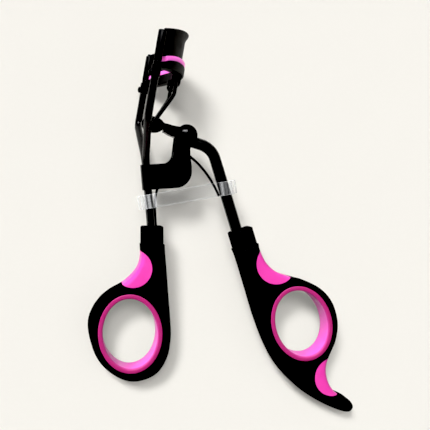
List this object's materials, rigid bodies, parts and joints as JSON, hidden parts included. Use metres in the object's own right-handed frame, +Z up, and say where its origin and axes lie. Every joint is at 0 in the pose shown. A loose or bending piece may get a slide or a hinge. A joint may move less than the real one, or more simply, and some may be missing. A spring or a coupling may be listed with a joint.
{
  "type": "eyelash curler",
  "caption": "Scissor-handled eyelash curler: curved jaws on two guide rods, a lower jaw lifted by a lever and wire link, and finger rings lined with soft rubber.",
  "frame": {"origin": "centre of the base of the bounding box, on the table the tool lies on", "axes": "+Z up from the table, +Y along the tool from the finger rings to the jaws, +X from the fixed handle across to the moving handle; the tool leans on its far guide rod, so its pivot axis is about 10 degrees off +Z"},
  "size_m": [0.0844, 0.1188, 0.0387],
  "materials": {
    "painted_black": "glossy black coating over steel",
    "black_grip": "satin black moulded plastic",
    "pink_soft": "soft-touch pink rubber",
    "pink_silicone": "smooth pink silicone",
    "clear_band": "clear elastic"
  },
  "bodies": {
    "frame": {"upper_jaw": "painted_black", "left_frame_rod": "painted_black", "right_frame_rod": "painted_black", "hinge_bracket": "painted_black", "pivot_rivet": "painted_black", "return_spring": "painted_black", "retaining_band": "clear_band", "fixed_grip_core": "black_grip", "fixed_grip": "black_grip", "fixed_ring_liner": "pink_soft", "fixed_thumb_pad": "pink_soft"},
    "moving_handle": {"lever_arm": "painted_black", "moving_grip_core": "black_grip", "moving_grip": "black_grip", "moving_ring_liner": "pink_soft", "moving_upper_pad": "pink_soft", "moving_tail_pad": "pink_soft"},
    "clamp": {"lower_jaw": "painted_black", "silicone_pad": "pink_silicone"},
    "link": {"jaw_link": "painted_black"}
  },
  "joints": [
    {"name": "handle_pivot", "type": "hinge", "parent": "frame", "child": "moving_handle", "pos_m": [-0.01261, 0.02845, 0.01688], "axis": [-0.0341, -0.1671, 0.9853], "range_deg": [0, 37], "stiffness_Nm_per_rad": 0.05, "deforming": ["return_spring", "retaining_band"]},
    {"name": "jaw_slide", "type": "slide", "parent": "frame", "child": "clamp", "axis": [-0.1679, -0.971, -0.1705], "range_m": [0, 0.0067]},
    {"name": "link_pivot", "type": "hinge", "parent": "clamp", "child": "link", "pos_m": [-0.01642, 0.04341, 0.01928], "axis": [-0.0341, -0.1671, 0.9853], "range_deg": [0, 5]}
  ],
  "couplings": [
    {"joint": "jaw_slide", "follows": "handle_pivot", "m_per_rad": 0.0101},
    {"joint": "link_pivot", "follows": "handle_pivot", "ratio": 0.09}
  ]
}
